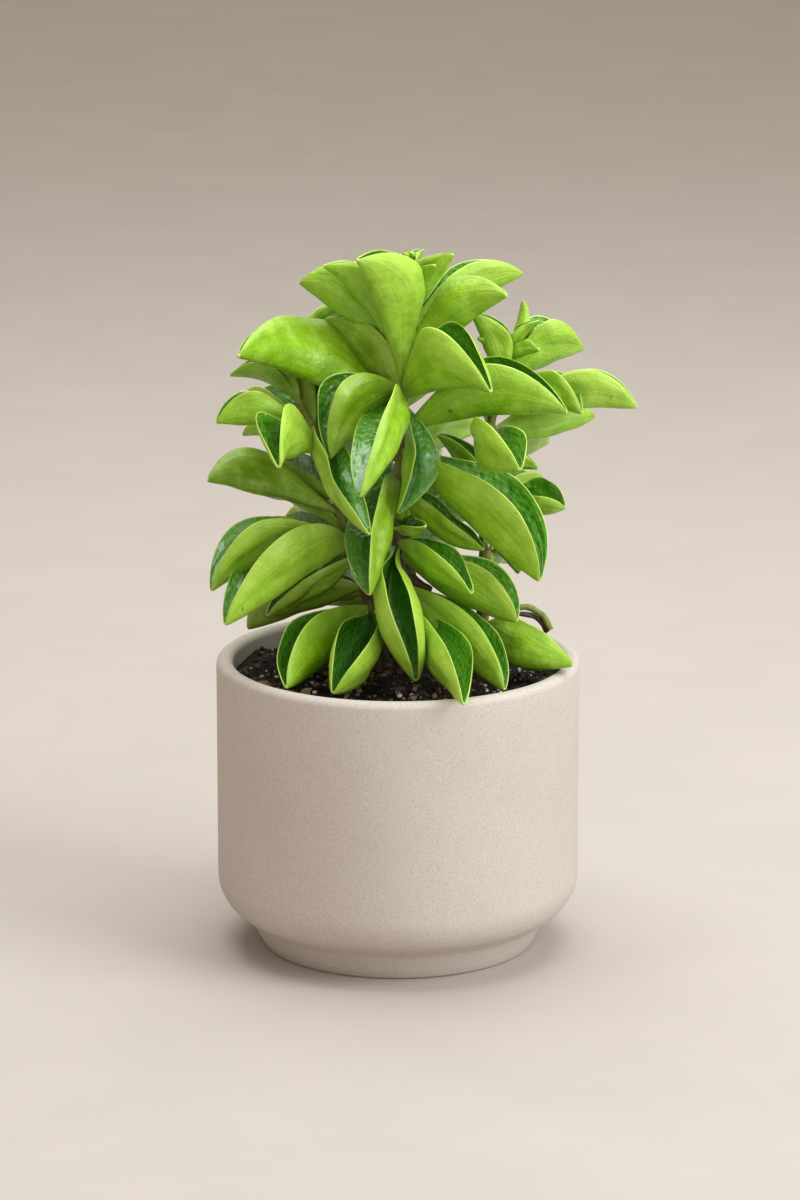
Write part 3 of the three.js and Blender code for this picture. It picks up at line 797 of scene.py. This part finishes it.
def makeLeaves(side, materials):
    rng = random.Random(leafShape["seed"] + len(side))
    form = bmesh.new()
    layers = {name: form.verts.layers.float.new(name) for name in ("across", "along", "tint", "tone")}
    weights = form.verts.layers.deform.verify()
    route = stemRoutes[side]
    for index, (joint, *row) in enumerate(leafRows[side]):
        base = stemPoint(route, shareAtHeight(route, joint))
        addLeaf(form, layers, weights, base, row, rng, knownTones[side].get(index))
    piece = makePiece(f"stem_{side}_leaves", form, materials, [f"stem_{side}"], turnOut=False)
    piece.vertex_groups.new(name="thickness")
    solid = piece.modifiers.new("flesh", "SOLIDIFY")
    solid.thickness = leafShape["thickness"] * mm
    solid.offset = 0
    solid.vertex_group = "thickness"
    solid.material_offset = 1
    solid.material_offset_rim = 2
    smooth = piece.modifiers.new("smooth", "SUBSURF")
    smooth.levels = 1
    smooth.render_levels = 1


# small things on the stems: a dead stub, a dried and curled old leaf, a young shoot, and buds

twigShape = {
    "sides": 12,
    "steps": 28,
    "roughness": 0.5,
    "roughSize": 2.6,
    "rows": [
        # points along it, radius at its ends, how young it is
        ([(0.5, -0.6, 125), (5, -3.4, 124), (10.5, -6, 121)], (2.2, 1.5), 0.0),
        ([(29, 9, 111), (36, 17, 109), (43, 21, 108.5), (48, 21, 106), (51, 20, 101)], (0.8, 1.2), 0.9),
        ([(30, 9, 109.5), (36, 17.5, 106.8), (43, 21.5, 106), (47.5, 21.5, 103.8), (50, 20.5, 99.8)],
         (0.7, 1.0), 0.0),
        ([(27.5, 7, 166), (27, 5, 170), (26, 3.5, 175)], (0.9, 0.7), 1.0),
    ],
}

budShape = {
    "grainSize": 1.2,
    "roughness": 0.16,  # of its size
    "roughSize": 0.6,
    "tones": [(0.1, (0.300, 0.480, 0.020)), (0.9, (0.560, 0.560, 0.260))],
    "rows": [
        # middle, size, tone from yellow-green to pale
        ((1.4, -3.4, 145.8), 4.2, 0.1), ((3.2, -3.8, 147.0), 2.6, 0.2), ((0.2, -3.2, 147.4), 2.4, 0.0),
        ((29.6, 4.6, 134.6), 3.2, 0.9), ((31.0, 4.4, 133.6), 2.2, 0.7), ((8.4, -2.6, 154.4), 3.0, 0.8),
        ((-0.6, 0.8, 230.8), 2.2, 0.0), ((2.4, 0.2, 231.8), 2.0, 0.0), ((4.6, 1.6, 231.6), 2.2, 0.0),
    ],
}


def makeTwigs(material):
    shape = twigShape
    form = bmesh.new()
    youngLayer = form.verts.layers.float.new("young")
    for route, (startRadius, endRadius), young in shape["rows"]:
        steps = shape["steps"]
        radii = [startRadius + (endRadius - startRadius) * step / steps for step in range(steps + 1)]
        for ring in drawTube(form, route, shape["sides"], radii):
            for vert in ring:
                vert[youngLayer] = young
                vert.co += noise.noise_vector(vert.co / mm / shape["roughSize"]) * shape["roughness"] * mm
    makePiece("small_twigs", form, [material], ["stem_center", "stem_right"])


def makeBudMaterial():
    material, tree, shader = startMaterial("freshBud", Roughness=0.45, Subsurface_Weight=0.15,
                                           Subsurface_Scale=0.002)
    grain = noiseValue(tree, ownPosition(tree), budShape["grainSize"], 3)
    tone = maths(tree, "ADD", attribute(tree, "tone"), span(tree, grain, 0.3, 0.7, -0.15, 0.15))
    feed(tree, shader, "Base Color", ramp(tree, tone, budShape["tones"]))
    bump(tree, shader, grain, 0.4, 0.4)
    return material


def makeBuds():
    shape = budShape
    form = bmesh.new()
    toneLayer = form.verts.layers.float.new("tone")
    for middle, size, tone in shape["rows"]:
        made = bmesh.ops.create_icosphere(form, subdivisions=3, radius=size * mm / 2,
                                          matrix=Matrix.Translation(Vector(middle) * mm))
        for vert in made["verts"]:
            vert[toneLayer] = tone
            rough = noise.noise_vector(vert.co / mm / (size * shape["roughSize"]))
            vert.co += rough * size * shape["roughness"] * mm
    makePiece("small_buds", form, [makeBudMaterial()], ["stem_center", "stem_right"])


def makePlant():
    stemMaterial = makeStemMaterial()
    leafMaterials = [makeInside(), makeOutside(), makeMargin()]
    for side in stemRoutes:
        makeStem(side, stemMaterial, [row[0] for row in leafRows[side]])
        makeLeaves(side, leafMaterials)
        print("stem", side, "with", len(leafRows[side]), "leaves")
    makeTwigs(stemMaterial)
    makeBuds()
    print("twigs and buds added")


# the stage, lights and camera

stage = {
    "floorReach": 3.0,
    "floor": (0.460, 0.413, 0.375),
    "floorShade": 0.96,
    "floorPatch": 60,
    "sky": (0.98, 0.83, 0.66),
    "skyStrength": 0.40,
    "lights": [
        # name, place, the point it faces, size, power, colour
        ("keyLight", (1.20, -0.60, 0.95), (0, 0, 0.12), 1.0, 22.5, (0.92, 0.97, 1.0)),
        ("windowLight", (0.45, -1.7, 1.1), (0, 0, 0.12), 1.2, 7.5, (0.92, 0.97, 1.0)),
        ("fillLight", (-1.0, -1.4, 0.9), (0, 0, 0.12), 1.4, 2.4, (1.0, 0.92, 0.83)),
        ("topLight", (0.0, 0.25, 1.3), (0, 0, 0.12), 1.2, 20, (0.94, 0.98, 1.0)),
        ("backLight", (0.0, 2.4, 1.5), (0, 2.4, 0), 1.6, 8, (1.0, 0.96, 0.91)),
    ],
    "cameraPlace": (0.0007, -1.6, 0.526),
    "cameraDown": 14.36,
    "lens": 150.3,
    "sensor": 36,
    "nearest": 0.05,
}


def makeFloor():
    form = bmesh.new()
    bmesh.ops.create_grid(form, x_segments=1, y_segments=1, size=stage["floorReach"])
    mesh = bpy.data.meshes.new("floor")
    form.to_mesh(mesh)
    form.free()
    floor = bpy.data.objects.new("floor", mesh)
    bpy.context.collection.objects.link(floor)
    material, tree, shader = startMaterial("paleFloor", Roughness=0.8)
    cloud = noiseValue(tree, ownPosition(tree), stage["floorPatch"], 4)
    shade = tuple(value * stage["floorShade"] for value in stage["floor"])
    feed(tree, shader, "Base Color", blend(tree, span(tree, cloud, 0.35, 0.65), stage["floor"], shade))
    mesh.materials.append(material)


def makeLights():
    world = bpy.data.worlds.new("studio")
    bpy.context.scene.world = world
    world.use_nodes = True
    sky = world.node_tree.nodes["Background"]
    sky.inputs["Color"].default_value = (*stage["sky"], 1)
    sky.inputs["Strength"].default_value = stage["skyStrength"]
    for name, place, faced, size, power, colour in stage["lights"]:
        lamp = bpy.data.lights.new(name, "AREA")
        lamp.energy, lamp.size, lamp.color = power, size, colour
        light = bpy.data.objects.new(name, lamp)
        light.location = place
        light.rotation_euler = (Vector(faced) - Vector(place)).to_track_quat("-Z", "Y").to_euler()
        bpy.context.collection.objects.link(light)


def makeCamera():
    lens = bpy.data.cameras.new("photoCamera")
    lens.lens = stage["lens"]
    lens.sensor_width = stage["sensor"]
    lens.clip_start = stage["nearest"]
    camera = bpy.data.objects.new("photoCamera", lens)
    camera.location = stage["cameraPlace"]
    camera.rotation_euler = (radians(90 - stage["cameraDown"]), 0, 0)
    bpy.context.collection.objects.link(camera)
    bpy.context.scene.camera = camera
    bpy.context.scene.view_settings.view_transform = "Standard"  # keeps the lime greens clear


makeFloor()
makeLights()
makeCamera()
print("stage set")
makePot()
makeSoil()
makeSoilBits()
makePlant()
